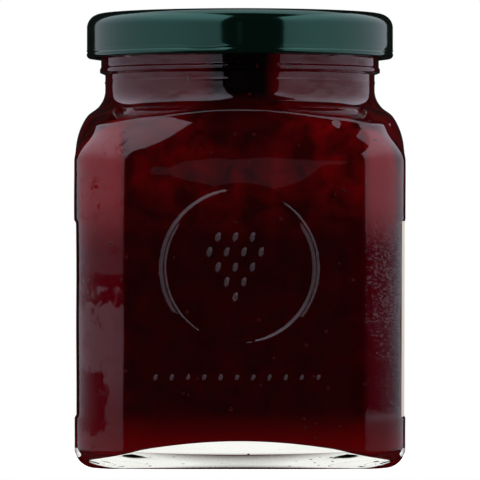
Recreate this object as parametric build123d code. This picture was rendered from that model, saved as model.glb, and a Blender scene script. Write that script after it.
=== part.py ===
from build123d import *
import math
import os

# A square glass jar of jam with a twist-off metal lid. Millimetres, Z up.
# The origin is the middle of the foot, and the plain front of the jar faces -Y.

# Glass body
jar_width = 70.0  # across the flats where the body is widest
side_draft = 0.15  # each flat leans in this much from its top to the foot
corner_radius = 12.0  # upright corners
heel_radius = 4.2  # flats to foot
shoulder_round = 12.5  # top of each flat, curling in to the shoulder
shoulder_round_turn = 48.0  # degrees of that curl, less where a wide neck leaves less room
crease_margin = 0.2  # how far the curl runs on past the turned shoulder
neck_ledge = 0.1  # least that the flats stand outside the neck
wall = 3.2

# Turned shoulder, which meets the square body in an arched crease on each side
neck_base = 80.2  # level where the shoulder becomes the neck
neck_fillet = 5.0
shoulder_slope = 22.0  # degrees below level
shoulder_corner_round = 8.0  # over the four corners
corner_overhang = 0.3  # turned outline past the corners, so that the corners cut it

# Neck and finish
neck_radius = 29.0
neck_height = 3.2  # straight neck, up to the bead
finish_step = 0.9  # finish proud of the neck
finish_height = 12.9  # bead's underside to rim
bead_proud = 0.25  # bead proud of the finish
bead_rise = 0.5  # slope of the bead's underside
bead_height = 0.8
bead_fade = 0.4
rim_round = 0.9
thread_starts = 4
thread_proud = 1.1  # threads proud of the finish
thread_root = 1.0  # how deep the threads start inside the finish
thread_height = 1.4
thread_edge_round = 0.4
thread_sweep = 80.0  # degrees round the neck
thread_tilt = 6.5  # degrees, falling clockwise as seen from above

# Foot
floor_crown = 11.2  # top of the domed floor, on the axis
floor_dome_radius = 100.0
floor_edge = 3.2  # lowest level of the floor, in the corners
floor_heel = 4.5
foot_ring = 5.05  # flat of the foot, from the heel to the hollow under it
push_up_depth = 2.0

# Panel for the label, on the right, back and left sides
panel_bottom = 10.6
panel_shoulder_gap = 15.0  # panel's top to the start of the shoulder's curl
panel_depth = 0.4
panel_fade = 0.2  # panel's plan proud of the front flat, so that it runs out on the front corners

# Raised ornament on the front: a ring round a plain berry, over a row of pearls
relief_height = 0.55
ornament_drop = 25.0  # ring's centre below the start of the shoulder's curl
ring_radius = 16.0
ring_section_radius = 0.9
drupelet_radius = 2.1
drupelet_spacing = 3.6
drupelet_rows = (3, 4, 3, 2, 1)
pearl_radius = 1.0
pearl_spacing = 3.4
pearl_count = 11
pearl_drop = 23.0  # row of pearls below the ring's centre

# Label
label_thickness = 0.12
label_margin = 0.25  # above and below, to the panel's edges
label_glue = 0.06
label_right_overrun = 4.0  # right end, past the corner's axis and round the corner
label_left_setback = 11.0  # left end, behind the corner's axis

# Jam
headspace = 7.3  # jam's level below the rim
fill_gap = 0.1  # jam to glass

# Lid
lid_depth = 9.6
lid_sheet = 0.3
lid_edge_radius = 3.0
curl_radius = 0.8
curl_clearance = 0.4  # curl to the threads
lid_panel_clearance = 0.6  # sunk panel to the jar's mouth
lid_panel_drop = 0.8
lid_panel_slant = 0.8
lid_button_radius = 11.0
lid_button_floor = 7.0
lid_button_drop = 0.5
lid_lug_sweep = 13.0  # degrees
lid_lug_edge_round = 0.4
lid_lug_turn = 256.5  # degrees from +X to the first lug
lid_lug_side_clearance = 0.45  # lug to the finish beside it
lid_lug_clearance = 0.1  # lug to the thread above it

# Worked out from the sizes above
half_width = jar_width / 2
corner_axis = half_width - corner_radius
corner_reach = corner_axis * math.sqrt(2) + corner_radius + corner_overhang
slope = math.radians(shoulder_slope)
neck_room = half_width - neck_radius - neck_ledge  # all that the curl may take
curl_turn = min(math.radians(shoulder_round_turn), math.acos(1 - min(neck_room / shoulder_round, 1)))
push_up_radius = half_width - side_draft - heel_radius - foot_ring
bead_level = neck_base + neck_height
rim_level = bead_level + finish_height
finish_radius = neck_radius + finish_step
bead_radius = finish_radius + bead_proud
thread_radius = finish_radius + thread_proud
jam_level = rim_level - headspace
lid_top = rim_level + lid_sheet
lid_rim = lid_top - lid_depth
lid_radius = thread_radius + curl_clearance + 2 * curl_radius
lid_lug_reach = finish_radius + lid_lug_side_clearance
lid_panel_radius = neck_radius - wall - lid_panel_clearance - lid_panel_slant


def cone_level(radius, inset=0.0):
    """Height of the shoulder's straight slope, which touches the hollow fillet under the neck."""
    touch_radius = neck_radius + neck_fillet * (1 - math.sin(slope))
    touch_level = neck_base - neck_fillet * math.cos(slope)
    return touch_level - (radius - touch_radius) * math.tan(slope) - inset / math.cos(slope)


def shoulder_level(radius):
    """Height of the turned shoulder, on its fillet or on its slope."""
    fillet_axis = neck_radius + neck_fillet
    if radius < fillet_axis - neck_fillet * math.sin(slope):
        return neck_base - math.sqrt(neck_fillet**2 - (fillet_axis - radius) ** 2)
    return cone_level(radius)


curl_end_radius = half_width - shoulder_round * (1 - math.cos(curl_turn))
flat_top = shoulder_level(curl_end_radius) + crease_margin - shoulder_round * math.sin(curl_turn)
panel_top = flat_top - panel_shoulder_gap
draft_angle = math.degrees(math.atan(side_draft / flat_top))


def half_width_at(level):
    """Distance from the axis to a flat at a level."""
    return half_width - side_draft * (1 - level / flat_top)


def turned(outline, arc=360.0):
    """Solid turned about Z from an outline drawn as radius and height."""
    return revolve(Plane.XZ * outline, axis=Axis.Z, revolution_arc=arc)


def rounded(face, point, radius):
    """The face with one named corner rounded."""
    return fillet(face.vertices().sort_by_distance((*point, 0))[0], radius)


def side_outline(inset, bottom, heel, top):
    """Upright section of one flat, measured outwards from the corner's axis."""
    foot = corner_radius - side_draft - inset
    wide = corner_radius - inset
    curl = shoulder_round - inset
    curl_end = (wide - curl * (1 - math.cos(curl_turn)), flat_top + curl * math.sin(curl_turn))
    edge = Polyline((0, top), (0, bottom), (foot, bottom), (wide, flat_top))
    edge += CenterArc((wide - curl, flat_top), curl, 0, math.degrees(curl_turn))
    edge += Polyline(curl_end, (curl_end[0], top), (0, top))
    return rounded(make_face(edge), (foot, bottom), heel)


def square_body(inset, bottom, heel, top):
    """Square column with round corners, its flats, heel and curled-in top set in by a distance."""
    section = Plane.XZ * side_outline(inset, bottom, heel, top)
    flat = extrude(section, amount=2 * corner_axis)
    corner = revolve(section, axis=Axis.Z, revolution_arc=90)
    quarter = Pos(corner_axis, corner_axis, 0) * (flat + corner)
    body = Pos(0, 0, (bottom + top) / 2) * Box(2 * corner_axis, 2 * corner_axis, top - bottom)
    for quarter_turn in range(4):
        body += Rot(0, 0, 90 * quarter_turn) * quarter
    return body


def round_shoulder(inset, bottom, top):
    """Turned column: neck, hollow fillet, slope and the round-over at the corners, set in by a distance."""
    neck = neck_radius - inset
    reach = corner_reach - inset
    neck_corner = (neck, cone_level(neck, inset))
    reach_corner = (reach, cone_level(reach, inset))
    face = make_face(Polyline(
        (0, bottom), (reach, bottom), reach_corner, neck_corner, (neck, top), (0, top), close=True
    ))
    face = rounded(face, reach_corner, shoulder_corner_round - inset)
    return turned(rounded(face, neck_corner, neck_fillet + inset))


def finish():
    """The glass above the neck: bead, wall, rim and the thread starts that the lid's lugs pass under."""
    fade_level = bead_level + bead_rise + bead_height + bead_fade
    face = make_face(Polyline(
        (0, bead_level),
        (neck_radius, bead_level),
        (bead_radius, bead_level + bead_rise),
        (bead_radius, bead_level + bead_rise + bead_height),
        (finish_radius, fade_level),
        (finish_radius, rim_level),
        (0, rim_level),
        close=True,
    ))
    ring = turned(rounded(face, (finish_radius, rim_level), rim_round))
    for start in range(thread_starts):
        ring += Rot(0, 0, lid_lug_turn + 360 / thread_starts * start) * thread_start()
    return ring


def thread_start():
    """One sloping thread, on the +X side. The lug passes under its middle."""
    root = finish_radius - thread_root
    lug_top = lid_rim + 2 * curl_radius
    section = Pos((root + thread_radius) / 2, 0) * RectangleRounded(
        thread_radius - root, thread_height, thread_edge_round
    )
    lug_half_width = thread_radius * math.sin(math.radians(lid_lug_sweep / 2))
    fall = lug_half_width * math.tan(math.radians(thread_tilt))
    level = lug_top + lid_lug_clearance + fall + thread_height / 2
    ramp = Rot(0, 0, -thread_sweep / 2) * turned(section, thread_sweep)
    return Pos(0, 0, level) * (Rot(thread_tilt, 0, 0) * ramp)


def cavity(gap, top):
    """The space inside the glass, or the jam in it when a gap is left to the wall."""
    inset = wall + gap
    bottom = floor_edge + gap
    space = square_body(inset, bottom, floor_heel - gap, top) & round_shoulder(inset, bottom, top)
    dome = Sphere(floor_dome_radius + gap)
    return space - Pos(0, 0, floor_crown - floor_dome_radius) * dome


def push_up():
    """The round hollow under the foot."""
    radius = (push_up_radius**2 + push_up_depth**2) / (2 * push_up_depth)
    return Pos(0, 0, push_up_depth - radius) * Sphere(radius)


def panel_core(depth):
    """What stays inside the label panel: the front is left whole, the other sides are set in."""
    full = half_width_at(panel_bottom)
    side = full - depth
    front = full + panel_fade
    plan = Pos(0, (side - front) / 2) * Rectangle(2 * side, side + front)
    plan = fillet(plan.vertices().group_by(Axis.Y)[-1], corner_radius - side_draft - depth)
    plan = fillet(plan.vertices().group_by(Axis.Y)[0], corner_radius - side_draft)
    core = extrude(plan, amount=panel_top - panel_bottom, taper=-draft_angle)
    return Pos(0, 0, panel_bottom) * core


def panel_recess():
    """What the label panel takes out of the sides."""
    height = panel_top - panel_bottom
    slab = Pos(0, 0, panel_bottom + height / 2) * Box(2 * jar_width, 2 * jar_width, height)
    return slab - panel_core(panel_depth)


def front_plane(level):
    """Plane lying on the front flat, which leans a little, at a level on its middle line."""
    lean = math.radians(draft_angle)
    origin = (0, -half_width_at(level), level)
    return Plane(origin=origin, x_dir=(1, 0, 0), z_dir=(0, -math.cos(lean), -math.sin(lean)))


def ornament():
    """Raised ring, berry and pearls. Each is sunk so that only its relief stands out."""
    centre = flat_top - ornament_drop
    plane = front_plane(centre)
    shapes = [plane * (Pos(0, 0, relief_height - ring_section_radius)
                       * Torus(ring_radius, ring_section_radius))]
    row_height = drupelet_spacing * math.sin(math.radians(60))
    middle = (len(drupelet_rows) - 1) / 2
    drupelet_sink = relief_height - drupelet_radius
    for row, count in enumerate(drupelet_rows):
        for place in range(count):
            across = (place - (count - 1) / 2) * drupelet_spacing
            up = (middle - row) * row_height
            shapes.append(plane * (Pos(across, up, drupelet_sink) * Sphere(drupelet_radius)))
    pearl_plane = front_plane(centre - pearl_drop)
    for place in range(pearl_count):
        across = (place - (pearl_count - 1) / 2) * pearl_spacing
        pearl = Pos(across, 0, relief_height - pearl_radius) * Sphere(pearl_radius)
        shapes.append(pearl_plane * pearl)
    return shapes


def glass_jar():
    """The jar, one hollow piece of pressed and blown glass."""
    jar = square_body(0, 0, heel_radius, bead_level) & round_shoulder(0, 0, bead_level)
    jar += finish()
    jar -= panel_recess()
    for shape in ornament():
        jar += shape
    jar -= cavity(0, lid_top)
    return jar - push_up()


def jam():
    """The jam, up to its level inside the lid's depth."""
    return cavity(fill_gap, jam_level)


def label():
    """Paper round the right, back and left sides, lying in the panel."""
    paper = panel_core(panel_depth - label_glue - label_thickness) - panel_core(panel_depth - label_glue)
    height = panel_top - panel_bottom - 2 * label_margin
    right_end = -corner_axis - label_right_overrun
    left_end = -corner_axis + label_left_setback
    back = jar_width
    band = Pos(half_width, (right_end + back) / 2, 0) * Box(jar_width, back - right_end, height)
    band += Pos(-half_width, (left_end + back) / 2, 0) * Box(jar_width, back - left_end, height)
    return paper & Pos(0, 0, (panel_bottom + panel_top) / 2) * band


def lid_blank(shrink):
    """Upright half section of the lid's outside, or of its inside when shrunk by the sheet."""
    top = lid_top - shrink
    panel = top - lid_panel_drop
    side = lid_radius - shrink
    points = (
        (0, panel - lid_button_drop),
        (lid_button_floor, panel - lid_button_drop),
        (lid_button_radius, panel),
        (lid_panel_radius, panel),
        (lid_panel_radius + lid_panel_slant, top),
        (side, top),
        (side, lid_rim + curl_radius),
        (0, lid_rim + curl_radius),
    )
    face = make_face(Polyline(*points, close=True))
    return rounded(face, (side, top), lid_edge_radius - shrink)


def lid():
    """Twist-off lid: pressed sheet with a rolled edge, turned in at the lugs."""
    curl = Pos(lid_radius - curl_radius, lid_rim + curl_radius) * Circle(curl_radius)
    blank = turned(lid_blank(0) - lid_blank(lid_sheet) + curl)
    lug_outer = lid_radius - curl_radius
    lug = Pos((lid_lug_reach + lug_outer) / 2, lid_rim + curl_radius) * RectangleRounded(
        lug_outer - lid_lug_reach, 2 * curl_radius, lid_lug_edge_round
    )
    for start in range(thread_starts):
        middle = lid_lug_turn + 360 / thread_starts * start
        blank += Rot(0, 0, middle - lid_lug_sweep / 2) * turned(lug, lid_lug_sweep)
    return blank


os.makedirs("parts", exist_ok=True)
nodes = {"glass_jar": glass_jar(), "jam": jam(), "label": label(), "lid": lid()}
for name, shape in nodes.items():
    export_step(shape, f"parts/{name}.step")
    box = shape.bounding_box()
    print(name, len(shape.solids()), "solid", round(shape.volume / 1000, 1), "cm3", box.min, box.max)
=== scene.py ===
import math
import bpy
import numpy as np
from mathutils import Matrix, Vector


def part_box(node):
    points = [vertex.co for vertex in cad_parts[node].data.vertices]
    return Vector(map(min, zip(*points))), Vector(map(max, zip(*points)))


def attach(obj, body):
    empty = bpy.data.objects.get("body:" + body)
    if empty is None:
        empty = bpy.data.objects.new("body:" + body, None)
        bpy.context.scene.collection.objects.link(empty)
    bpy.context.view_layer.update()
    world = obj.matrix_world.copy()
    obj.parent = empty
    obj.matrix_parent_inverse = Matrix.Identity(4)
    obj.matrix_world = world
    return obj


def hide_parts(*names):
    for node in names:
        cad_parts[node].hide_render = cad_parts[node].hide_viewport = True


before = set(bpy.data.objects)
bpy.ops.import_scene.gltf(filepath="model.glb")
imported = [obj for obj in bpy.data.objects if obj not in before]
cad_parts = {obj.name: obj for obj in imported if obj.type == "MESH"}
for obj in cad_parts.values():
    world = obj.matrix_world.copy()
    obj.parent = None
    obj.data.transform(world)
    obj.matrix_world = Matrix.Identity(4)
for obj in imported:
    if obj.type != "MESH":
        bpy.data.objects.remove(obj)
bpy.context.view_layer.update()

# A square glass jar of dark red jam with a green twist-off lid and a cream paper label round its back.
# Lengths in the dictionaries are millimetres. Meshes are made in metres, in the frame of the CAD model.
mm = 0.001


def corners(node):
    return [np.array(corner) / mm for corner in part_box(node)]


jarLow, jarHigh = corners("glass_jar")
jamHigh = corners("jam")[1]
lidLow, lidHigh = corners("lid")
labelLow, labelHigh = corners("label")


# A long lens on the front face, level with the middle of the jar.
view = {
    "distance": 1100.0,  # from the jar's axis
    "height": 48.0,
    "sideways": 0.015,
    "lens": 383.0,
    "sensorWidth": 36.0,
    "nearest": 0.05,  # metres, as farthest
    "farthest": 50.0,
}
cameraData = bpy.data.cameras.new("camera")
cameraData.lens = view["lens"]
cameraData.sensor_width = view["sensorWidth"]
cameraData.clip_start = view["nearest"]
cameraData.clip_end = view["farthest"]
camera = bpy.data.objects.new("camera", cameraData)
camera.location = Vector((view["sideways"], -view["distance"], view["height"])) * mm
camera.rotation_euler = (math.radians(90), 0, 0)
bpy.context.collection.objects.link(camera)
bpy.context.scene.camera = camera


# Shape of the jar, shared by the glass and by the jam that fills it
jar = {
    "halfWidth": jarHigh[0],
    "rimLevel": jarHigh[2],
    "cornerRadius": 12.0,
    "sideDraft": 0.15,  # the flats lean in this much from flatTop to the foot
    "flatTop": 67.2,  # where the flats start to curl in to the shoulder
    "shoulderRound": 12.5,
    "shoulderTurn": 48.0,  # degrees
    "neckBase": 80.2,
    "neckRadius": 29.0,
    "neckFillet": 5.0,
    "shoulderSlope": 22.0,  # degrees below level
    "cornerRound": 8.0,
    "cornerOverhang": 0.3,
    "wall": 3.2,
    "creaseRound": 1.0,  # softness of the crease between flats and shoulder
    "creaseBelow": 6.0,  # the crease's softness starts this far below flatTop
    "underRound": 0.3,  # how fast the turned shape spreads below the corner's round
    "swell": 2.6,  # the flats grow convex towards the shoulder by this much at the corners
    "swellFrom": 64.6,
    "swellTo": 72.5,
    "swellPast": 0.15,  # share of the flat's half that the swell follows past the corner's start
    "swellRise": 4.0,  # slope of the swell there
    "swellTurn": 13.3,  # how fast that slope gives out
    "brow": 0.0028,  # the front starts to tip in from browFrom, this much per square millimetre
    "browFrom": 55.0,
    "browSides": (0.45, 0.83),  # sine of the azimuth where the tip starts and where it is full
    "floorCrown": 11.2,  # the domed floor inside
    "floorDome": 100.0,  # its radius
    "floorEdge": 3.2,
    "floorHeel": 4.5,
}
jar["cornerAxis"] = jar["halfWidth"] - jar["cornerRadius"]
jar["cornerReach"] = jar["cornerAxis"] * math.sqrt(2) + jar["cornerRadius"] + jar["cornerOverhang"]


def smoothStep(low, high, value):
    t = np.clip((value - low) / (high - low), 0, 1)
    return t * t * (3 - 2 * t)


def smoothLeast(a, b, width):
    h = np.clip(0.5 + 0.5 * (b - a) / width, 0, 1)
    return b * (1 - h) + a * h - width * h * (1 - h)


def squareRadius(azimuth, half, corner):  # reach of a rounded square along each azimuth
    across = np.maximum(abs(np.cos(azimuth)), abs(np.sin(azimuth)))
    along = np.minimum(abs(np.cos(azimuth)), abs(np.sin(azimuth)))
    axis = half - corner
    toAxis = axis * (across + along)
    onCorner = toAxis + np.sqrt(np.maximum(toAxis**2 - 2 * axis**2 + corner**2, 0))
    return np.where(half * along / across <= axis, half / across, onCorner)


def flatHalf(level, inset):  # distance from the axis to a flat, set in from the outside
    lean = jar["sideDraft"] * np.clip(1 - level / jar["flatTop"], 0, 1)
    curl = jar["shoulderRound"] - inset
    rise = np.clip((level - jar["flatTop"]) / curl, 0, math.sin(math.radians(jar["shoulderTurn"])))
    return jar["halfWidth"] - inset - lean - curl * (1 - np.sqrt(1 - rise**2))


def turnedRadius(level, inset):  # the turned neck and shoulder, set in from the outside
    slope = math.radians(jar["shoulderSlope"])
    filletAxis = jar["neckRadius"] + jar["neckFillet"]
    fillet = jar["neckFillet"] + inset
    touchRadius = filletAxis - fillet * math.sin(slope)
    touchLevel = jar["neckBase"] - fillet * math.cos(slope)
    roundRadius = jar["cornerRound"] - inset
    roundAxis = jar["cornerReach"] - jar["cornerRound"]
    roundLevel = touchLevel - (roundAxis - touchRadius) * math.tan(slope) - roundRadius / math.cos(slope)
    up = np.clip(jar["neckBase"] - level, 0, fillet)
    onFillet = filletAxis - np.sqrt(fillet**2 - up**2)
    onCone = touchRadius + (touchLevel - level) / math.tan(slope)
    over = np.clip(level - roundLevel, 0, roundRadius)
    under = np.clip(roundLevel - level, 0, None)
    onRound = roundAxis + np.sqrt(roundRadius**2 - over**2) + jar["underRound"] * under
    radius = np.where(level >= touchLevel, onFillet, onCone)
    return np.where(level < roundLevel + roundRadius * math.cos(slope), onRound, radius)


def browed(azimuth, level):  # how far the front tips in below its curl
    reach = jar["flatTop"] - jar["browFrom"]
    tilt = 2 * jar["brow"] * reach
    risen = np.clip(level - jar["browFrom"], 0, reach)
    more = np.clip(level - jar["flatTop"], 0, tilt * jar["shoulderRound"])
    fall = jar["brow"] * risen**2 + tilt * more - more**2 / (2 * jar["shoulderRound"])
    return fall * smoothStep(*jar["browSides"], -np.sin(azimuth))


def swollen(azimuth, level):  # how far the convex flats fall back towards the corners
    across = np.maximum(abs(np.cos(azimuth)), abs(np.sin(azimuth)))
    along = np.minimum(abs(np.cos(azimuth)), abs(np.sin(azimuth)))
    corner = jar["cornerAxis"] / jar["halfWidth"]
    place = along / across / corner
    past = np.clip(place - 1, 0, jar["swellPast"])
    beyond = 1 + jar["swellRise"] * past - jar["swellTurn"] * past**2
    fall = np.where(place < 1, place**4, beyond)
    return jar["swell"] * fall * smoothStep(jar["swellFrom"], jar["swellTo"], level)


def bodyRadius(azimuth, level, inset):
    half = flatHalf(level, inset)
    square = squareRadius(azimuth, half, half - jar["cornerAxis"])
    square = square - swollen(azimuth, level) - browed(azimuth, level)
    turned = turnedRadius(level, inset)
    blended = smoothLeast(square, turned, jar["creaseRound"])
    return np.where(level > jar["flatTop"] - jar["creaseBelow"], blended, square)


def columnAzimuths(frontStep, sideStep, cornerSteps):  # azimuths met on a walk round the rounded square
    axis, radius = jar["cornerAxis"], jar["cornerRadius"]
    found = []
    for side, step in enumerate((frontStep, sideStep, sideStep, sideStep)):
        turn = math.radians(90) * side
        count = int(round(2 * axis / step))
        for x in np.linspace(-axis, axis, count, endpoint=False):
            found.append(math.atan2(-axis - radius, x) + turn)
        for place in range(cornerSteps):
            bend = math.radians(90) * place / cornerSteps
            x = axis + radius * math.sin(bend)
            y = -axis - radius * math.cos(bend)
            found.append(math.atan2(y, x) + turn)
    return np.array(found)


def pointsAt(azimuth, radius, level):
    radius, level = np.broadcast_to(radius, azimuth.shape), np.broadcast_to(level, azimuth.shape)
    return np.stack((radius * np.cos(azimuth), radius * np.sin(azimuth), level), axis=-1)


def meshFromRows(name, rows, firstPole, lastPole):  # rings of points joined from one pole to the other
    rows = np.array(rows)
    rowCount, columnCount = rows.shape[:2]
    points = np.concatenate(([firstPole], rows.reshape(-1, 3), [lastPole])) * mm
    index = 1 + np.arange(rowCount * columnCount).reshape(rowCount, columnCount)
    after = np.roll(index, -1, axis=1)
    quads = np.stack((index[:-1], after[:-1], after[1:], index[1:]), axis=-1).reshape(-1, 4)
    last = len(points) - 1
    faces = [(0, b, a) for a, b in zip(index[0], after[0])]
    faces += [tuple(quad) for quad in quads.tolist()]
    faces += [(a, b, last) for a, b in zip(index[-1], after[-1])]
    mesh = bpy.data.meshes.new(name)
    mesh.from_pydata(points.tolist(), [], faces)
    mesh.shade_smooth()
    piece = bpy.data.objects.new(name, mesh)
    bpy.context.collection.objects.link(piece)
    return piece


labelMargin = 0.25  # from the label's edges to the panel's
glass = {
    "columns": (0.35, 2.0, 14),  # steps along the front and the other sides, and steps round a corner
    "insideStep": 1.6,
    "foot": {"pushUpRadius": 25.6, "pushUpDepth": 2.0, "heel": 4.2},
    "neckHeight": 3.2,
    "partingLevel": 81.8,  # fine ridge where the parts of the mould meet
    "partingRidge": 0.12,
    "partingWidth": 0.22,
    "finishStep": 0.9,
    "beadProud": 0.25,
    "beadRise": 0.6,
    "beadFallFrom": 1.2,  # above the bead's underside, as beadFallTo
    "beadFallTo": 1.8,
    "rimRound": 0.9,
    "threadStarts": 4,
    "threadProud": 1.1,
    "threadHeight": 1.4,
    "threadRound": 0.62,  # half of the ridge, as a share of threadHeight
    "threadSweep": 80.0,  # degrees, as the next four
    "threadFade": 4.0,
    "threadReach": 50.0,
    "threadTilt": 6.5,
    "threadTurn": 256.5,
    "threadLevel": 89.8,
    "panelDepth": 0.4,
    "panelFade": 0.2,  # the panel runs out on the front corners
    "panelLow": labelLow[2] - labelMargin,
    "panelHigh": labelHigh[2] + labelMargin,
    "panelSoft": 0.7,  # width of the panel's edges, inside and outside
    "panelSoftOut": 0.1,
    "relief": -jarLow[1] - jar["halfWidth"],
    "ornamentDrop": 25.0,
    "ringRadius": 16.0,
    "ringHalfWidth": 1.0,
    "ringFlank": 0.12,  # share of the relief in the ring's wide foot, the rest is its ridge
    "drupeletRows": (3, 4, 3, 2, 1),
    "drupeletSpacing": 3.6,
    "drupeletRadius": 1.55,
    "drupeletRise": 0.55,  # share of the relief, as pearlRise
    "pearlDrop": 23.0,
    "pearlCount": 11,
    "pearlSpacing": 3.4,
    "pearlRadius": 1.0,
    "pearlRise": 0.5,
    "dotRound": 1.2,
    "waviness": 0.03,
    "wavyFrom": (6.0, 14.0),  # levels where the waves start and end
    "wavyTo": (60.0, 66.0),
}
beadLevel = jar["neckBase"] + glass["neckHeight"]


def dome(distance, radius, power=1.5):
    return np.clip(1 - (distance / radius) ** 2, 0, None) ** power


def ornamentHeight(x, z):  # raised ring, berry and pearls on the front, as a share of the relief
    centre = jar["flatTop"] - glass["ornamentDrop"]
    fromRing = np.hypot(x, z - centre) - glass["ringRadius"]
    flank = dome(fromRing, 2.0 * glass["ringHalfWidth"], 2.0)
    ridge = dome(fromRing, 0.5 * glass["ringHalfWidth"])
    height = glass["ringFlank"] * flank + (1 - glass["ringFlank"]) * ridge
    rowHeight = glass["drupeletSpacing"] * math.sin(math.radians(60))
    middle = (len(glass["drupeletRows"]) - 1) / 2
    for row, count in enumerate(glass["drupeletRows"]):
        for place in range(count):
            across = (place - (count - 1) / 2) * glass["drupeletSpacing"]
            up = centre + (middle - row) * rowHeight
            dot = dome(np.hypot(x - across, z - up), glass["drupeletRadius"], glass["dotRound"])
            height = np.maximum(height, glass["drupeletRise"] * dot)
    for place in range(glass["pearlCount"]):
        across = (place - (glass["pearlCount"] - 1) / 2) * glass["pearlSpacing"]
        up = centre - glass["pearlDrop"]
        dot = dome(np.hypot(x - across, z - up), glass["pearlRadius"], glass["dotRound"])
        height = np.maximum(height, glass["pearlRise"] * dot)
    return height


def finishRadius(azimuth, level):  # neck, bead, wall and threads
    parting = np.exp(-(((level - glass["partingLevel"]) / glass["partingWidth"]) ** 2))
    radius = jar["neckRadius"] + glass["partingRidge"] * parting
    onBead = smoothStep(beadLevel, beadLevel + glass["beadRise"], level)
    radius = radius + (glass["finishStep"] + glass["beadProud"]) * onBead
    overBead = smoothStep(beadLevel + glass["beadFallFrom"], beadLevel + glass["beadFallTo"], level)
    radius = radius - glass["beadProud"] * overBead
    reach = math.radians(glass["threadReach"])
    halfSweep = glass["threadSweep"] / 2
    halfRidge = glass["threadRound"] * glass["threadHeight"]
    for start in range(glass["threadStarts"]):
        middle = math.radians(glass["threadTurn"] + 360 / glass["threadStarts"] * start)
        away = (azimuth - middle + math.pi) % (2 * math.pi) - math.pi
        along = np.clip(away, -reach, reach)
        rise = radius * np.sin(along) * math.sin(math.radians(glass["threadTilt"]))
        ends = 1 - smoothStep(halfSweep - glass["threadFade"], halfSweep, np.degrees(abs(away)))
        ridge = dome(level - glass["threadLevel"] - rise, halfRidge, 0.5)
        radius = radius + glass["threadProud"] * ridge * ends
    return radius


def panelRadius(azimuth, radius, half):  # floor of the label's panel: the front is left whole
    axis, depth = jar["cornerAxis"], glass["panelDepth"]
    behind = squareRadius(azimuth, half - depth, half - depth - axis)
    across, along = abs(np.cos(azimuth)), abs(np.sin(azimuth))
    facing = np.clip((radius * across - axis) / (half - axis), 0, 1)
    ahead = np.clip((radius * along - axis) / (half - axis), 0, 1)
    shift = np.maximum(depth * facing - glass["panelFade"] * ahead, 0)
    beside = radius - shift / np.maximum(facing * across + ahead * along, 0.5)
    return np.where(np.sin(azimuth) > 0, behind, beside)


def outsideRadius(azimuth, level):
    if level > jar["neckBase"] - 0.01:
        return finishRadius(azimuth, level)
    radius = bodyRadius(azimuth, level, 0.0)
    half = flatHalf(level, 0.0)
    heel = glass["foot"]["heel"]
    if level < heel:  # the heel's round
        half = flatHalf(heel, 0.0) - heel + math.sqrt(heel**2 - (heel - level) ** 2)
        radius = squareRadius(azimuth, half, half - jar["cornerAxis"])
    low, high = glass["panelLow"], glass["panelHigh"]
    soft, softOut = glass["panelSoft"], glass["panelSoftOut"]
    inPanel = smoothStep(low - softOut, low + soft, level)
    inPanel = inPanel * (1 - smoothStep(high - soft, high + softOut, level))
    if inPanel > 0:
        radius = radius + (panelRadius(azimuth, radius, half) - radius) * inPanel
    return radius


def footRows(azimuth):  # the hollow under the foot and the ring that the jar stands on
    foot = glass["foot"]
    hollow = foot["pushUpRadius"]
    capRadius = (hollow**2 + foot["pushUpDepth"] ** 2) / (2 * foot["pushUpDepth"])
    rows = []
    for radius in np.linspace(3, hollow, 9):
        level = foot["pushUpDepth"] - capRadius + math.sqrt(capRadius**2 - radius**2)
        rows.append(pointsAt(azimuth, radius, level))
    footHalf = flatHalf(foot["heel"], 0.0) - foot["heel"]
    footEdge = squareRadius(azimuth, footHalf, footHalf - jar["cornerAxis"])
    for share in np.linspace(0.12, 1, 7):
        rows.append(pointsAt(azimuth, hollow * (1 - share) + footEdge * share, 0.0))
    return rows


def outsideRows(azimuth):  # from the heel to the rim, with the rows closer where there is more to show
    heel = glass["foot"]["heel"]
    heelTurns = np.radians(np.linspace(12, 84, 9))
    levels = [heel * (1 - math.cos(turn)) for turn in heelTurns]
    stretches = (
        (heel, 9.8, 0.8),
        (9.9, 17.2, 0.36),
        (17.5, 60.6, 0.38),
        (61, jar["neckBase"] - 0.1, 0.34),
        (jar["neckBase"], beadLevel, 0.16),
        (beadLevel + 0.08, 86.6, 0.14),
        (86.7, jar["rimLevel"] - glass["rimRound"], 0.42),
    )
    for stretch in stretches:
        levels += np.arange(*stretch).tolist()
    return [pointsAt(azimuth, outsideRadius(azimuth, level), level) for level in levels]


def rimRows(azimuth):
    edge = glass["rimRound"]
    outer = jar["neckRadius"] + glass["finishStep"]
    inner = jar["neckRadius"] - jar["wall"]
    rows = []
    for turn in np.radians(np.linspace(15, 90, 6)):
        level = jar["rimLevel"] - edge * (1 - math.sin(turn))
        rows.append(pointsAt(azimuth, outer - edge * (1 - math.cos(turn)), level))
    for turn in np.radians(np.linspace(90, 0, 6)):
        level = jar["rimLevel"] - edge * (1 - math.sin(turn))
        rows.append(pointsAt(azimuth, inner + edge * (1 - math.cos(turn)), level))
    return rows


def unsettle(point):  # faint waves of moulded glass, and the ornament
    x, y, z = point[:, 0], point[:, 1], point[:, 2]
    swell = np.sin(x / 9 + z / 13) * np.sin(z / 7 - y / 11) + np.sin(z / 4.1 + x / 17 + y / 6)
    onBody = smoothStep(*glass["wavyFrom"], z) * (1 - smoothStep(*glass["wavyTo"], z))
    point[:, :2] *= (1 + glass["waviness"] * swell * onBody / jar["halfWidth"])[:, None]
    front = (y < -30) & (abs(x) < jar["cornerAxis"])
    point[:, 1] -= np.where(front, ornamentHeight(x, z), 0) * glass["relief"]


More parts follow.
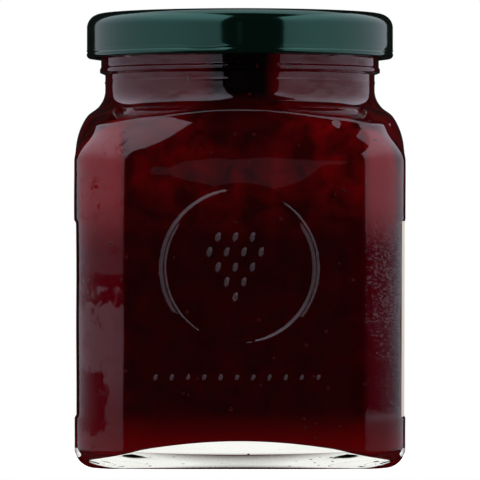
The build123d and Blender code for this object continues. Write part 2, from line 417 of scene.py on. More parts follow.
def makeGlass():
    azimuth = columnAzimuths(*glass["columns"])
    outside = outsideRows(azimuth)
    for point in outside:
        unsettle(point)
    neckLevels = np.linspace(jar["rimLevel"] - 2, jar["neckBase"], 6)
    inside = insideRows(azimuth, jar["wall"], neckLevels, glass["insideStep"])
    rows = footRows(azimuth) + outside + rimRows(azimuth) + inside
    crown = floorLevel(np.zeros(1), jar["wall"])[0]
    return meshFromRows("glass_jar_clear", rows, (0, 0, glass["foot"]["pushUpDepth"]), (0, 0, crown))


def floorLevel(radius, inset):  # the domed floor, reached by the glass or the jam
    gap = inset - jar["wall"]
    curve = jar["floorDome"] + gap
    domed = jar["floorCrown"] + gap - curve + np.sqrt(curve**2 - radius**2)
    return np.maximum(domed, jar["floorEdge"] + gap)


def insideRadius(azimuth, level, inset):
    gap = inset - jar["wall"]
    heel = jar["floorHeel"] - gap
    heelTop = jar["floorEdge"] + gap + heel
    radius = bodyRadius(azimuth, level, inset)
    below = np.clip(heelTop - level, 0, heel)
    half = flatHalf(level, inset) - heel + np.sqrt(heel**2 - below**2)
    low = squareRadius(azimuth, half, half - jar["cornerAxis"])
    return np.where(level < heelTop, low, radius)


def insideRows(azimuth, inset, topLevels, step):
    gap = inset - jar["wall"]
    low = np.full(azimuth.shape, jar["floorEdge"] + gap + 1e-4)
    high = np.full(azimuth.shape, jar["floorEdge"] + jar["floorHeel"])
    for _ in range(30):  # level where the wall meets the floor
        middle = (low + high) / 2
        above = middle > floorLevel(insideRadius(azimuth, middle, inset), inset)
        high = np.where(above, middle, high)
        low = np.where(above, low, middle)
    edge = (low + high) / 2
    rows = [pointsAt(azimuth, jar["neckRadius"] - inset, level) for level in topLevels]
    count = int((jar["neckBase"] - jar["floorEdge"] - jar["floorHeel"]) / step)
    for share in np.linspace(0, 1, count)[1:]:
        level = jar["neckBase"] * (1 - share) + edge * share
        rows.append(pointsAt(azimuth, insideRadius(azimuth, level, inset), level))
    reach = insideRadius(azimuth, edge, inset)
    for share in np.linspace(0, 1, 14)[1:-1]:
        rows.append(pointsAt(azimuth, reach * (1 - share), floorLevel(reach * (1 - share), inset)))
    return rows


jam = {
    "reach": 0.18,  # into the glass, so that no air shows between them
    "columns": (0.8, 0.8, 14),  # as for the glass
    "rowStep": 0.7,
    "surfaceDrop": 0.5,  # the top's middle level below its level at the glass
    "surfaceUneven": 0.35,
    "poleRadius": 1.5,  # innermost ring of the top
    "poleDrop": 0.4,
    "edgeFlat": 1.2,  # the top's unevenness ends this far from the glass
    "edgeRound": 0.5,
    "edgeDrop": 0.3,
}


def makeJam():
    azimuth = columnAzimuths(*jam["columns"])
    inset = jar["wall"] - jam["reach"]
    top = jamHigh[2]
    rim = jar["neckRadius"] - inset
    rows = []
    for radius in np.linspace(jam["poleRadius"], rim - jam["edgeFlat"], 16):
        sway = np.sin(radius * np.cos(azimuth) / 5) * np.cos(radius * np.sin(azimuth) / 4 + 1)
        level = top - jam["surfaceDrop"] + jam["surfaceUneven"] * sway
        rows.append(pointsAt(azimuth, radius, level))
    rows.append(pointsAt(azimuth, rim - jam["edgeRound"], top - jam["edgeDrop"]))
    rows += insideRows(azimuth, inset, np.linspace(top, jar["neckBase"], 14), jam["rowStep"])
    crown = floorLevel(np.zeros(1), inset)[0]
    return meshFromRows("jam_fill", rows, (0, 0, top - jam["poleDrop"]), (0, 0, crown))


lid = {
    "radius": lidHigh[0],
    "top": lidHigh[2],
    "rim": lidLow[2],
    "sideInset": 0.06,  # skirt inside the rolled edge
    "edgeRadius": 3.0,
    "curl": 0.8,
    "hem": ((0.0, 1.95), (0.02, 1.75), (0.08, 1.55)),  # skirt to rolled edge: outwards, above the rim
    "sheet": 0.3,
    "panelRadius": 24.4,
    "panelSlant": 0.9,
    "panelDrop": 0.8,
    "buttonRadius": 11.0,
    "buttonFloor": 7.0,
    "buttonDrop": 0.5,
    "lugCount": 4,
    "lugTurn": 256.5,  # degrees, as lugSweep and lugFade
    "lugSweep": 13.0,
    "lugFade": 4.0,
    "lugReach": 30.35,
    "lugDent": 0.22,  # dent outside each lug
    "lugDip": 0.35,  # how far the rolled edge dips there
}


def arc(centreRadius, centreLevel, radius, start, end, count):
    turns = np.radians(np.linspace(start, end, count))
    return [(centreRadius + radius * math.cos(t), centreLevel + radius * math.sin(t)) for t in turns]


def lidProfile():
    side = lid["radius"] - lid["sideInset"]
    top, rim, curl, edge = lid["top"], lid["rim"], lid["curl"], lid["edgeRadius"]
    panel = top - lid["panelDrop"]
    sheet = lid["sheet"]
    outline = []
    for share in np.linspace(0.15, 1, 6):
        outline.append((lid["buttonFloor"] * share, panel - lid["buttonDrop"]))
    for share in np.linspace(0, 1, 9)[1:]:
        radius = lid["buttonFloor"] + (lid["buttonRadius"] - lid["buttonFloor"]) * share
        outline.append((radius, panel - lid["buttonDrop"] * (1 - smoothStep(0, 1, share))))
    for radius in np.linspace(lid["buttonRadius"], lid["panelRadius"] - 0.4, 7)[1:]:
        outline.append((radius, panel))
    for share in np.linspace(0, 1, 8)[1:]:
        outline.append((lid["panelRadius"] - 0.4 + (lid["panelSlant"] + 0.8) * share,
                        panel + lid["panelDrop"] * float(smoothStep(0, 1, share))))
    for radius in np.linspace(lid["panelRadius"] + 1.6, side - edge, 5)[1:-1]:
        outline.append((radius, top))
    outline += arc(side - edge, top - edge, edge, 90, 0, 14)
    for level in np.linspace(top - edge, rim + 2.3, 8)[1:]:
        outline.append((side, level))
    outline += [(side + out, rim + up) for out, up in lid["hem"]]
    outline += arc(lid["radius"] - curl, rim + curl, curl, 40, -180, 18)
    inner = lid["radius"] - 2 * curl
    outline += [(inner + 0.15, rim + curl + 0.5), (inner + 0.6, rim + 1.9), (side - sheet, rim + 2.4)]
    for level in np.linspace(rim + 3, top - edge, 5):
        outline.append((side - sheet, level))
    outline += arc(side - edge, top - edge, edge - sheet, 12, 90, 8)
    for radius in np.linspace(side - edge - 1, lid["panelRadius"] + 1.4, 4):
        outline.append((radius, top - sheet))
    for share in np.linspace(0, 1, 6):
        outline.append((lid["panelRadius"] + 1.2 - (lid["panelSlant"] + 0.6) * share,
                        top - sheet - lid["panelDrop"] * float(smoothStep(0, 1, share))))
    for radius in np.linspace(lid["panelRadius"] - 1.2, lid["buttonRadius"] + 0.3, 5):
        outline.append((radius, panel - sheet))
    for radius in (9.0, lid["buttonFloor"], 4.0, 1.2):
        outline.append((radius, panel - sheet - lid["buttonDrop"] * (1 if radius < 8 else 0.5)))
    return outline


def makeLid():
    azimuth = np.radians(np.arange(0, 360, 1.0))
    apart = 360 / lid["lugCount"]
    away = (np.degrees(azimuth) - lid["lugTurn"] + apart / 2) % apart - apart / 2
    lug = 1 - smoothStep(1.0, lid["lugSweep"] / 2 + lid["lugFade"], abs(away))
    inner = lid["radius"] - 2 * lid["curl"]
    rows = []
    for radius, level in reversed(lidProfile()):
        reach = np.full(azimuth.shape, radius)
        rise = np.full(azimuth.shape, level)
        onCurl = level < lid["rim"] + 2 * lid["curl"] + 0.5
        if onCurl and radius > lid["radius"] - lid["curl"]:
            reach = reach - lid["lugDent"] * lug
            onShoulder = smoothStep(lid["rim"] + 0.9, lid["rim"] + 1.6, level)
            rise = rise - lid["lugDip"] * lug * onShoulder
        elif onCurl and radius < inner + 0.5:
            reach = reach - (inner - lid["lugReach"]) * lug
        rows.append(pointsAt(azimuth, reach, rise))
    low = lid["top"] - lid["panelDrop"] - lid["buttonDrop"]
    return meshFromRows("lid_pressed", rows, (0, 0, low - lid["sheet"]), (0, 0, low))


# Density is for each square metre of the jam's skin, between the levels from and to.
seeds = {
    "density": 9000.0,
    "least": 0.55,
    "most": 0.95,
    "flatness": 0.5,
    "from": 6.0,
    "to": 88.0,
    "seed": 3,
}
bubbles = {
    "density": 9000.0,
    "least": 0.12,
    "most": 0.42,
    "flatness": 0.7,
    "from": 60.0,
    "to": 87.0,
    "seed": 11,
}


def addNode(tree, kind, inputs=None, **settings):
    node = tree.nodes.new(kind)
    for name, value in settings.items():
        setattr(node, name, value)
    for socket, value in (inputs or {}).items():
        if isinstance(value, bpy.types.NodeSocket):
            tree.links.new(value, node.inputs[socket])
        else:
            node.inputs[socket].default_value = value
    return node


def scatterTree(material):
    tree = bpy.data.node_groups.new("scatterOnJam", "GeometryNodeTree")
    face = tree.interface
    face.new_socket("Geometry", in_out="INPUT", socket_type="NodeSocketGeometry")
    for name in ("Density", "Least", "Most", "Flatness", "From", "To"):
        face.new_socket(name, in_out="INPUT", socket_type="NodeSocketFloat")
    face.new_socket("Seed", in_out="INPUT", socket_type="NodeSocketInt")
    face.new_socket("Geometry", in_out="OUTPUT", socket_type="NodeSocketGeometry")
    given = addNode(tree, "NodeGroupInput").outputs
    place = addNode(tree, "GeometryNodeInputPosition")
    height = addNode(tree, "ShaderNodeSeparateXYZ", {0: place.outputs[0]}).outputs["Z"]
    above = addNode(tree, "FunctionNodeCompare", {
        "A": height, "B": given["From"],
    }, operation="GREATER_THAN")
    under = addNode(tree, "FunctionNodeCompare", {
        "A": height, "B": given["To"],
    }, operation="LESS_THAN")
    inside = addNode(tree, "FunctionNodeBooleanMath", {
        0: above.outputs[0], 1: under.outputs[0],
    }, operation="AND")
    spread = addNode(tree, "GeometryNodeDistributePointsOnFaces", {
        "Mesh": given["Geometry"], "Selection": inside.outputs[0],
        "Density": given["Density"], "Seed": given["Seed"],
    }, distribute_method="RANDOM")
    bead = addNode(tree, "GeometryNodeMeshIcoSphere", {"Radius": 0.5, "Subdivisions": 2})
    size = addNode(tree, "FunctionNodeRandomValue", {
        "Min": given["Least"], "Max": given["Most"], "Seed": given["Seed"],
    }, data_type="FLOAT")
    longer = addNode(tree, "FunctionNodeRandomValue", {"Min": 0.6, "Max": 1.0}, data_type="FLOAT")
    narrow = addNode(tree, "ShaderNodeMath", {
        0: size.outputs[1], 1: longer.outputs[1],
    }, operation="MULTIPLY")
    thin = addNode(tree, "ShaderNodeMath", {
        0: size.outputs[1], 1: given["Flatness"],
    }, operation="MULTIPLY")
    scale = addNode(tree, "ShaderNodeCombineXYZ", {
        "X": size.outputs[1], "Y": narrow.outputs[0], "Z": thin.outputs[0],
    })
    spin = addNode(tree, "FunctionNodeRandomValue", {
        "Min": 0.0, "Max": 6.283,  # radians, one full turn
    }, data_type="FLOAT")
    turn = addNode(tree, "ShaderNodeCombineXYZ", {"Z": spin.outputs[1]})
    copies = addNode(tree, "GeometryNodeInstanceOnPoints", {
        "Points": spread.outputs["Points"], "Instance": bead.outputs["Mesh"],
        "Rotation": spread.outputs["Rotation"], "Scale": scale.outputs[0],
    })
    turned = addNode(tree, "GeometryNodeRotateInstances", {
        "Instances": copies.outputs[0], "Rotation": turn.outputs[0],
    })
    real = addNode(tree, "GeometryNodeRealizeInstances", {"Geometry": turned.outputs[0]})
    smooth = addNode(tree, "GeometryNodeSetShadeSmooth", {"Geometry": real.outputs[0]})
    painted = addNode(tree, "GeometryNodeSetMaterial", {
        "Geometry": smooth.outputs[0], "Material": material,
    })
    addNode(tree, "NodeGroupOutput", {0: painted.outputs[0]})
    return tree


def scatterOn(surface, name, sizes, material):
    source = bpy.data.objects.new(name + "_source", surface.data.copy())
    bpy.context.collection.objects.link(source)
    tree = scatterTree(material)
    modifier = source.modifiers.new("scatter", "NODES")
    modifier.node_group = tree
    values = {
        "Density": sizes["density"],
        "Least": sizes["least"] * mm,
        "Most": sizes["most"] * mm,
        "Flatness": sizes["flatness"],
        "From": sizes["from"] * mm,
        "To": sizes["to"] * mm,
        "Seed": sizes["seed"],
    }
    for item in tree.interface.items_tree:
        if item.in_out == "INPUT" and item.name in values:
            modifier[item.identifier] = values[item.name]
    ready = source.evaluated_get(bpy.context.evaluated_depsgraph_get())
    mesh = bpy.data.meshes.new_from_object(ready)
    mesh.name = name
    piece = bpy.data.objects.new(name, mesh)
    bpy.context.collection.objects.link(piece)
    bpy.data.objects.remove(source)
    return piece


def toLinear(hexColour):
    parts = [int(hexColour[i:i + 2], 16) / 255 for i in (1, 3, 5)]
    linear = [p / 12.92 if p <= 0.04045 else ((p + 0.055) / 1.055) ** 2.4 for p in parts]
    return (*linear, 1.0)


def newMaterial(name):
    material = bpy.data.materials.new(name)
    material.use_nodes = True
    material.node_tree.nodes.clear()
    return material, material.node_tree


def placeParts(tree, place):
    parts = addNode(tree, "ShaderNodeSeparateXYZ", {0: place}).outputs
    sideX = addNode(tree, "ShaderNodeMath", {0: parts["X"]}, operation="ABSOLUTE").outputs[0]
    sideY = addNode(tree, "ShaderNodeMath", {0: parts["Y"]}, operation="ABSOLUTE").outputs[0]
    least = addNode(tree, "ShaderNodeMath", {0: sideX, 1: sideY}, operation="MINIMUM").outputs[0]
    return {"x": parts["X"], "y": parts["Y"], "z": parts["Z"], "sideX": sideX, "fromMiddle": least}


def smoothSteps(tree, along, rows):  # each row: along what, from, to, value before, value after
    made = {}
    for name, (source, low, high, start, end) in rows.items():
        made[name] = addNode(tree, "ShaderNodeMapRange", {
            "Value": along[source], "From Min": low * mm, "From Max": high * mm,
            "To Min": start, "To Max": end,
        }, interpolation_type="SMOOTHSTEP").outputs[0]
    return made


def smoothBands(tree, along, rows):  # each row: along what, from, full from, full to, to
    made = {}
    for name, (source, low, lowFull, highFull, high) in rows.items():
        ends = smoothSteps(tree, along, {
            "rise": (source, low, lowFull, 0.0, 1.0),
            "fall": (source, highFull, high, 1.0, 0.0),
        })
        made[name] = addNode(tree, "ShaderNodeMath", {
            0: ends["rise"], 1: ends["fall"],
        }, operation="MULTIPLY").outputs[0]
    return made


# Levels and places are millimetres. Values run from 0, full shine, to 1, none.
glassLook = {
    "colour": "#fdfef8",
    "ior": 1.52,
    "dulled": (0.02, 0.02, 0.02, 1),  # what is left of the shine where the skin is rough
    "swell": {"Scale": 70.0, "Detail": 1.0},  # waves 14 mm wide
    "swellHeight": 0.05,
    "grain": {"Scale": 1300.0, "Detail": 1.0, "Roughness": 0.5},  # 0.8 mm, coarse enough to show
    "grainStretch": 2.2,
    "grainCut": {"From Min": 0.47, "From Max": 0.53},
    "ragged": {"Scale": 380.0, "Detail": 8.0, "Roughness": 0.85},  # patches 2.6 mm wide
    "raggedCut": {"From Min": 0.575, "From Max": 0.59},
    "highPatchMore": 0.12,
    "tornReach": 24.0,
    "tornShare": 0.6,
    "streaks": {"Scale": 110.0, "Detail": 4.0, "Roughness": 0.6},  # 9 mm long
    "streakStretch": 3.5,
    "streakCut": {"From Min": 0.48, "From Max": 0.66, "To Min": 0.0, "To Max": 0.75},
    "steps": {
        "corner": ("sideX", 22.6, 24.0, 0.0, 1.0),
        "front": ("y", -20.0, -18.0, 1.0, 0.0),
        "right": ("x", -1.0, 1.0, 0.0, 1.0),
        "grainAcross": ("sideX", 25.0, 34.5, 0.1, -0.02),  # denser towards the middle of the jar
        "grainDown": ("z", 22.0, 34.0, 0.11, 0.0),  # and lower down
        "grainFoot": ("z", 9.0, 12.0, 0.7, 0.0),
        "lowPatchAcross": ("sideX", 26.5, 30.0, 0.0, 0.2),
        "leftFoot": ("z", 12.0, 20.0, 0.4, 0.0),
        "neck": ("z", 76.0, 79.0, 0.0, 1.0),
    },
    "bands": {
        "grain": ("z", 10.0, 13.0, 44.0, 58.0),
        "lowPatch": ("z", 6.0, 9.0, 19.0, 21.5),
        "highPatch": ("z", 33.0, 36.0, 40.0, 42.0),
        "torn": ("tornLevel", 49.0, 49.3, 58.0, 70.0),
    },
}


def grainedSkin(tree, place, steps, bands):  # fine grain of the right corner
    look = glassLook
    drawnOut = addNode(tree, "ShaderNodeVectorMath", {
        0: place, 1: (1.0, 1.0, look["grainStretch"]),
    }, operation="MULTIPLY").outputs[0]
    grain = addNode(tree, "ShaderNodeTexNoise", {"Vector": drawnOut, **look["grain"]}).outputs["Fac"]
    more = addNode(tree, "ShaderNodeMath", {
        0: steps["grainAcross"], 1: steps["grainDown"],
    }, operation="ADD").outputs[0]
    pits = addNode(tree, "ShaderNodeMath", {0: more, 1: grain}, operation="ADD").outputs[0]
    pitted = addNode(tree, "ShaderNodeMapRange", {"Value": pits, **look["grainCut"]}).outputs[0]
    grained = addNode(tree, "ShaderNodeMath", {
        0: bands["grain"], 1: pitted,
    }, operation="MULTIPLY").outputs[0]
    return addNode(tree, "ShaderNodeMath", {
        0: grained, 1: steps["grainFoot"],
    }, operation="MAXIMUM").outputs[0]


def wornSkin(tree, ragged, steps, bands):  # ragged patches of the left corner
    look = glassLook
    lower = addNode(tree, "ShaderNodeMath", {
        0: bands["lowPatch"], 1: steps["lowPatchAcross"],
    }, operation="MULTIPLY").outputs[0]
    upper = addNode(tree, "ShaderNodeMath", {
        0: bands["highPatch"], 1: look["highPatchMore"],
    }, operation="MULTIPLY").outputs[0]
    both = addNode(tree, "ShaderNodeMath", {0: lower, 1: upper}, operation="ADD").outputs[0]
    patches = addNode(tree, "ShaderNodeMath", {0: both, 1: ragged}, operation="ADD").outputs[0]
    worn = addNode(tree, "ShaderNodeMapRange", {"Value": patches, **look["raggedCut"]}).outputs[0]
    faint = addNode(tree, "ShaderNodeMath", {
        0: bands["torn"], 1: look["tornShare"],
    }, operation="MULTIPLY").outputs[0]
    either = addNode(tree, "ShaderNodeMath", {0: worn, 1: faint}, operation="MAXIMUM").outputs[0]
    return addNode(tree, "ShaderNodeMath", {
        0: either, 1: steps["leftFoot"],
    }, operation="MAXIMUM").outputs[0]


def roughSkin(tree, place):  # skin left by the mould on the front corners, and streaks of the neck
    look = glassLook
    along = placeParts(tree, place)
    ragged = addNode(tree, "ShaderNodeTexNoise", {"Vector": place, **look["ragged"]}).outputs["Fac"]
    reach = addNode(tree, "ShaderNodeMath", {
        0: ragged, 1: look["tornReach"] * mm,
    }, operation="MULTIPLY").outputs[0]
    along["tornLevel"] = addNode(tree, "ShaderNodeMath", {
        0: along["z"], 1: reach,
    }, operation="ADD").outputs[0]
    steps = smoothSteps(tree, along, look["steps"])
    bands = smoothBands(tree, along, look["bands"])
    either = addNode(tree, "ShaderNodeMix", {
        "Factor": steps["right"],
        "A": wornSkin(tree, ragged, steps, bands),
        "B": grainedSkin(tree, place, steps, bands),
    }).outputs[0]
    onCorner = addNode(tree, "ShaderNodeMath", {
        0: steps["corner"], 1: steps["front"],
    }, operation="MULTIPLY").outputs[0]
    corner = addNode(tree, "ShaderNodeMath", {
        0: onCorner, 1: either,
    }, operation="MULTIPLY").outputs[0]
    drawnOut = addNode(tree, "ShaderNodeVectorMath", {
        0: place, 1: (1.0, 1.0, look["streakStretch"]),
    }, operation="MULTIPLY").outputs[0]
    streaks = addNode(tree, "ShaderNodeTexNoise", {"Vector": drawnOut, **look["streaks"]}).outputs["Fac"]
    streaked = addNode(tree, "ShaderNodeMapRange", {"Value": streaks, **look["streakCut"]}).outputs[0]
    onNeck = addNode(tree, "ShaderNodeMath", {
        0: streaked, 1: steps["neck"],
    }, operation="MULTIPLY").outputs[0]
    return addNode(tree, "ShaderNodeMath", {0: corner, 1: onNeck}, operation="ADD").outputs[0]


def pressedGlass():
    # Soda-lime glass, pressed and blown in an iron mould: clear, glossy, a little wavy.
    material, tree = newMaterial("soda_lime_glass_moulded")
    place = addNode(tree, "ShaderNodeTexCoord").outputs["Object"]
    swell = addNode(tree, "ShaderNodeTexNoise", {"Vector": place, **glassLook["swell"]})
    wavy = addNode(tree, "ShaderNodeBump", {
        "Height": swell.outputs["Fac"],
        "Distance": glassLook["swellHeight"] * mm,
        "Strength": 1.0,
    })
    shine = addNode(tree, "ShaderNodeMix", {
        0: roughSkin(tree, place), 6: (1, 1, 1, 1), 7: glassLook["dulled"],
    }, data_type="RGBA")
    body = addNode(tree, "ShaderNodeBsdfPrincipled", {
        "Base Color": toLinear(glassLook["colour"]), "Roughness": 0.0, "IOR": glassLook["ior"],
        "Transmission Weight": 1.0, "Normal": wavy.outputs[0],
        "Specular Tint": shine.outputs[2],
    })
    clear = addNode(tree, "ShaderNodeBsdfTransparent")
    ray = addNode(tree, "ShaderNodeLightPath")
    mixed = addNode(tree, "ShaderNodeMixShader", {
        0: ray.outputs["Is Shadow Ray"], 1: body.outputs[0], 2: clear.outputs[0],
    })
    addNode(tree, "ShaderNodeOutputMaterial", {"Surface": mixed.outputs[0]})
    return material


# Places are millimetres.
jamLook = {
    "tones": {
        "dark": "#1a0001",
        "red": "#620003",
        # Painted light: the jam brighter red near the foot
        "litFoot": "#560003",
        # Corner tones: painted light, the jam redder at the corners where lamp light gets into it
        "litCornerHigh": "#78040b",
        "litCornerLeft": "#4c0007",
        "litCornerRight": "#420007",
        # Neck tones: painted shade in the neck's middle, painted light on its sides where lamp light
        # gets into the jam
        "shadedNeckGap": "#050000",
        "litNeckSide": "#54020a",
    },
    "seed": "#3c0a0a",
    "bubble": "#4a0a10",
    "fruit": {"Scale": 190.0, "Detail": 4.0, "Distortion": 0.5},  # pieces 5 mm wide
    "fruitCut": {"From Min": 0.36, "From Max": 0.7, "To Min": 0.3, "To Max": 1.9},
    "grazing": {"From Min": 0.66, "From Max": 0.74},
    "steps": {
        # Painted light: the red fruit mottle grows towards the edges and the top
        "edge": ("fromMiddle", 12.0, 26.0, 0.0, 0.1),
        "top": ("z", 46.0, 62.0, 0.08, 0.45),
        # Where the foot's painted light fades out
        "foot": ("z", 5.0, 13.0, 1.0, 0.0),
        # Painted shade in the middle of the shoulder, painted light at its sides
        "shoulder": ("z", 62.0, 70.0, 0.0, 1.0),
        "shoulderMiddle": ("sideX", 3.0, 17.0, 0.3, 1.2),
        "right": ("x", -5.0, 5.0, 0.0, 1.0),
        # Where the painted light of the corners lies
        "leftCorner": ("fromMiddle", 23.4, 25.4, 0.0, 1.0),
        "rightCorner": ("fromMiddle", 25.0, 27.4, 0.0, 1.0),
        "cornerTop": ("z", 44.0, 58.0, 0.0, 1.0),
        # Where the painted light of the neck's sides starts
        "litNeckSide": ("sideX", 4.5, 8.0, 0.0, 1.0),
        "neck": ("z", 76.0, 79.0, 0.0, 1.0),
    },
}


# The jam's colour: its own dark gel and red fruit, with painted light and shade laid over them
def jamToneWithPaintedLight(tree, place):
    look = jamLook
    steps = smoothSteps(tree, placeParts(tree, place), look["steps"])
    fruit = addNode(tree, "ShaderNodeTexNoise", {"Vector": place, **look["fruit"]}).outputs["Fac"]
    fruity = addNode(tree, "ShaderNodeMapRange", {"Value": fruit, **look["fruitCut"]}).outputs[0]
    # Painted light: more red towards the edges and the top
    litEdgesAndTop = addNode(tree, "ShaderNodeMath", {
        0: steps["edge"], 1: steps["top"],
    }, operation="MAXIMUM").outputs[0]
    mottled = addNode(tree, "ShaderNodeMath", {
        0: litEdgesAndTop, 1: fruity,
    }, operation="MULTIPLY").outputs[0]
    # Painted shade in the shoulder's middle, painted light at its sides
    shadedShoulderMiddle = addNode(tree, "ShaderNodeMix", {
        "Factor": steps["shoulder"], "A": 1.0, "B": steps["shoulderMiddle"],
    }).outputs[0]
    shaded = addNode(tree, "ShaderNodeMath", {
        0: mottled, 1: shadedShoulderMiddle,
    }, operation="MULTIPLY").outputs[0]
    # Share of the corners' painted light
    litCornerShare = addNode(tree, "ShaderNodeMix", {
        "Factor": steps["right"], "A": steps["leftCorner"], "B": steps["rightCorner"],
    }).outputs[0]
    tones = {name: toLinear(colour) for name, colour in look["tones"].items()}
    for name, share, first, second in (
        ("middle", shaded, "dark", "red"),
        ("litCornerLow", steps["right"], "litCornerLeft", "litCornerRight"),
        ("corner", steps["cornerTop"], "litCornerLow", "litCornerHigh"),
        ("body", litCornerShare, "middle", "corner"),
        # The neck: painted shade in the middle, painted light at the sides
        ("neck", steps["litNeckSide"], "shadedNeckGap", "litNeckSide"),
        ("gel", steps["neck"], "body", "neck"),
        ("whole", steps["foot"], "gel", "litFoot"),
    ):
        tones[name] = addNode(tree, "ShaderNodeMix", {
            0: share, 6: tones[first], 7: tones[second],
        }, data_type="RGBA").outputs[2]
    return tones["whole"]


def cookedJam():
    # Fruit jam set with pectin: a dark red gel with soft pieces of fruit in it. Painted light and shade
    # are in its base colour: redder corners, edges, top, neck sides and foot, a darker neck gap and
    # shoulder middle.
    material, tree = newMaterial("red_fruit_jam_with_painted_light")
    place = addNode(tree, "ShaderNodeTexCoord").outputs["Object"]
    gel = addNode(tree, "ShaderNodeBsdfPrincipled", {
        "Base Color": jamToneWithPaintedLight(tree, place), "Roughness": 0.35, "IOR": 1.04,
    })
    # Where glass touches gel, light that grazes the gel stays in the glass.
    mirror = addNode(tree, "ShaderNodeBsdfGlossy", {"Color": (1, 1, 1, 1), "Roughness": 0.0})
    facing = addNode(tree, "ShaderNodeLayerWeight", {"Blend": 0.5}).outputs["Facing"]
    grazing = addNode(tree, "ShaderNodeMapRange", {"Value": facing, **jamLook["grazing"]})
    surface = addNode(tree, "ShaderNodeMixShader", {
        0: grazing.outputs[0], 1: gel.outputs[0], 2: mirror.outputs[0],
    })
    addNode(tree, "ShaderNodeOutputMaterial", {"Surface": surface.outputs[0]})
    return material


def plainSkin(name, colour, roughness, ior):
    material, tree = newMaterial(name)
    body = addNode(tree, "ShaderNodeBsdfPrincipled", {
        "Base Color": toLinear(colour), "Roughness": roughness, "IOR": ior,
    })
    addNode(tree, "ShaderNodeOutputMaterial", {"Surface": body.outputs[0]})
    return material


def seedSkin():  # hard dry skin of a fruit seed
    return plainSkin("fruit_seed_dry", jamLook["seed"], 0.4, 1.15)


def bubbleSkin():  # air held in the gel, with the gel's colour behind it
    return plainSkin("air_bubble_in_gel", jamLook["bubble"], 0.2, 1.3)


lidLook = {
    "colour": "#020f09",
    "shine": "#a0ffe4",
    "roughness": 0.1,
    "ior": 1.78,
    "peel": {"Scale": 900.0, "Detail": 2.0},  # 1.1 mm, the enamel's orange peel
    "peelHeight": 0.01,
    "peelStrength": 0.6,
}


def lidEnamel():
    # Tinplate, roller coated with a dark green enamel and baked: smooth and glossy.
    material, tree = newMaterial("green_enamel_on_tinplate")
    place = addNode(tree, "ShaderNodeTexCoord").outputs["Object"]
    peel = addNode(tree, "ShaderNodeTexNoise", {"Vector": place, **lidLook["peel"]})
    bump = addNode(tree, "ShaderNodeBump", {
        "Height": peel.outputs["Fac"],
        "Distance": lidLook["peelHeight"] * mm,
        "Strength": lidLook["peelStrength"],
    })
    body = addNode(tree, "ShaderNodeBsdfPrincipled", {
        "Base Color": toLinear(lidLook["colour"]), "Roughness": lidLook["roughness"],
        "IOR": lidLook["ior"], "Normal": bump.outputs[0],
        "Specular Tint": toLinear(lidLook["shine"]),
    })
    addNode(tree, "ShaderNodeOutputMaterial", {"Surface": body.outputs[0]})
    return material


labelLook = {
    "hollows": "#dcd8c0",
    "fibres": "#e8e4cc",
    "roughness": 0.85,
    "fibre": {"Scale": 1400.0, "Detail": 4.0, "Distortion": 1.0},  # 0.7 mm, coarse enough to show
    "fibreHeight": 0.03,
    "fibreStrength": 0.5,
}


def labelPaper():
    # Uncoated cream label paper, wet-glued: matt, with a fine fibre.
    material, tree = newMaterial("uncoated_label_paper")
    place = addNode(tree, "ShaderNodeTexCoord").outputs["Object"]
    fibre = addNode(tree, "ShaderNodeTexNoise", {"Vector": place, **labelLook["fibre"]}).outputs["Fac"]
    tone = addNode(tree, "ShaderNodeMix", {
        0: fibre, 6: toLinear(labelLook["hollows"]), 7: toLinear(labelLook["fibres"]),
    }, data_type="RGBA")
    bump = addNode(tree, "ShaderNodeBump", {
        "Height": fibre,
        "Distance": labelLook["fibreHeight"] * mm,
        "Strength": labelLook["fibreStrength"],
    })
    body = addNode(tree, "ShaderNodeBsdfPrincipled", {
        "Base Color": tone.outputs[2], "Roughness": labelLook["roughness"], "Normal": bump.outputs[0],
    })
    addNode(tree, "ShaderNodeOutputMaterial", {"Surface": body.outputs[0]})
    return material


def seat(piece, node, material):
    if not piece.data.materials:
        piece.data.materials.append(material)
    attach(piece, "root")
    if node:
        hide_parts(node)


seat(makeGlass(), "glass_jar", pressedGlass())
print("glass made")
jamPiece = makeJam()
seat(jamPiece, "jam", cookedJam())
print("jam made")
seat(scatterOn(jamPiece, "fruit_seeds", seeds, seedSkin()), None, None)
seat(scatterOn(jamPiece, "air_bubbles", bubbles, bubbleSkin()), None, None)
print("seeds and bubbles made")
seat(makeLid(), "lid", lidEnamel())
print("lid made")
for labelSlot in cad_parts["label"].material_slots:
    labelSlot.material = labelPaper()
print("label made")


def oval(centre, halfWidth, halfHeight):  # upright, facing along Y
    x, y, z = centre
    turns = np.linspace(0, 2 * math.pi, 32, endpoint=False)
    return tuple((x + halfWidth * math.cos(t), y, z + halfHeight * math.sin(t)) for t in turns)


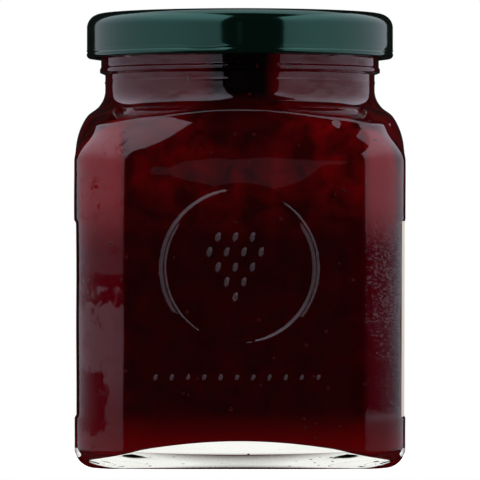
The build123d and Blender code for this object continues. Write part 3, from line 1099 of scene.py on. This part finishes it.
studio = {
    "lampColour": "#f7edff",
    "hotterRise": (100.0, 800.0),  # millimetres, the levels where the cloths grow hotter
    "hotterDepth": (-1250.0, -350.0),
    "hotterAbove": {"left": 2.3, "right": 2.0, "above": 1.0, "card": 1.0},
    "hotterBehind": {"left": 1.2, "right": 1.3, "above": 1.2, "card": 1.0},
    "floorRadius": 62.0,
    "floorSides": 96,
    "floorDrop": 0.06,
    "floorColour": "#e6e6e4",
    "worldGrey": 0.7,
    "worldGloss": 0.01,
    "panels": {  # corners in metres
        "left": ((-0.6, -2.18, -0.4), (-0.6, 0.69, -0.4), (-0.6, 0.69, 1.0), (-0.09, -0.74, 1.0)),
        "right": ((0.6, -0.94, -0.4), (0.6, 0.83, -0.4), (0.6, 0.83, 1.0), (0.6, -0.94, 1.0)),
        "above": ((-1.3, 0.9, 1.3), (1.3, 0.9, 1.3), (1.3, -0.25, 1.3), (-1.3, -0.25, 1.3)),
        "card": oval((0.002, -1.3, 0.18), 0.036, 0.046),
    },
    "brightness": {"left": 0.62, "right": 0.66, "above": 1.0, "card": 0.13},
}


def makeSheet(name, places, material):
    mesh = bpy.data.meshes.new(name)
    mesh.from_pydata(places, [], [tuple(range(len(places)))])
    mesh.materials.append(material)
    sheet = bpy.data.objects.new(name, mesh)
    bpy.context.collection.objects.link(sheet)
    return sheet


def whiteTable():  # white to the camera and through the glass, unseen in reflections
    material, tree = newMaterial("white_table")
    ray = addNode(tree, "ShaderNodeLightPath").outputs
    matt = addNode(tree, "ShaderNodeMix", {
        0: ray["Is Glossy Ray"], 6: toLinear(studio["floorColour"]), 7: (0, 0, 0, 1),
    }, data_type="RGBA")
    paint = addNode(tree, "ShaderNodeBsdfDiffuse", {"Color": matt.outputs[2]})
    glow = addNode(tree, "ShaderNodeEmission", {
        "Color": (1, 1, 1, 1), "Strength": ray["Is Camera Ray"],
    })
    lifted = addNode(tree, "ShaderNodeAddShader", {0: paint.outputs[0], 1: glow.outputs[0]})
    white = addNode(tree, "ShaderNodeEmission", {"Color": (1, 1, 1, 1), "Strength": 1.0})
    both = addNode(tree, "ShaderNodeMixShader", {
        0: ray["Is Transmission Ray"], 1: lifted.outputs[0], 2: white.outputs[0],
    })
    addNode(tree, "ShaderNodeOutputMaterial", {"Surface": both.outputs[0]})
    return material


def litCloth(name):  # lamps behind white cloth, hotter towards the top and the back
    material, tree = newMaterial("lit_cloth_" + name)
    place = addNode(tree, "ShaderNodeTexCoord").outputs["Object"]
    low = studio["brightness"][name]
    steps = smoothSteps(tree, placeParts(tree, place), {
        "above": ("z", *studio["hotterRise"], low, low * studio["hotterAbove"][name]),
        "behind": ("y", *studio["hotterDepth"], 1.0, studio["hotterBehind"][name]),
    })
    hotter = addNode(tree, "ShaderNodeMath", {
        0: steps["above"], 1: steps["behind"],
    }, operation="MULTIPLY")
    glow = addNode(tree, "ShaderNodeEmission", {
        "Color": toLinear(studio["lampColour"]), "Strength": hotter.outputs[0],
    })
    addNode(tree, "ShaderNodeOutputMaterial", {"Surface": glow.outputs[0]})
    return material


def makeWorld():  # white to the camera and through the glass, grey to matt pieces, dark in reflections
    world = bpy.data.worlds.new("studio")
    world.use_nodes = True
    tree = world.node_tree
    tree.nodes.clear()
    ray = addNode(tree, "ShaderNodeLightPath").outputs
    seen = addNode(tree, "ShaderNodeMath", {
        0: ray["Is Camera Ray"], 1: ray["Is Transmission Ray"],
    }, operation="MAXIMUM")
    level = addNode(tree, "ShaderNodeMapRange", {
        "Value": ray["Is Glossy Ray"], "To Min": studio["worldGrey"], "To Max": studio["worldGloss"],
    })
    dim = addNode(tree, "ShaderNodeBackground", {
        "Color": (1, 1, 1, 1), "Strength": level.outputs[0],
    })
    white = addNode(tree, "ShaderNodeBackground", {"Color": (1, 1, 1, 1), "Strength": 1.0})
    both = addNode(tree, "ShaderNodeMixShader", {
        0: seen.outputs[0], 1: dim.outputs[0], 2: white.outputs[0],
    })
    addNode(tree, "ShaderNodeOutputWorld", {"Surface": both.outputs[0]})
    bpy.context.scene.world = world


def makeStudio():
    turns = np.linspace(0, 2 * math.pi, studio["floorSides"], endpoint=False)
    radius, drop = studio["floorRadius"] * mm, studio["floorDrop"] * mm
    rim = [(math.cos(t) * radius, math.sin(t) * radius, -drop) for t in turns]
    floorPiece = makeSheet("floor", rim, whiteTable())
    for name, places in studio["panels"].items():
        panel = makeSheet(name, places, litCloth(name))
        panel.visible_camera = False
    makeWorld()


makeStudio()
bpy.context.scene.view_settings.view_transform = "Standard"
print("studio made")
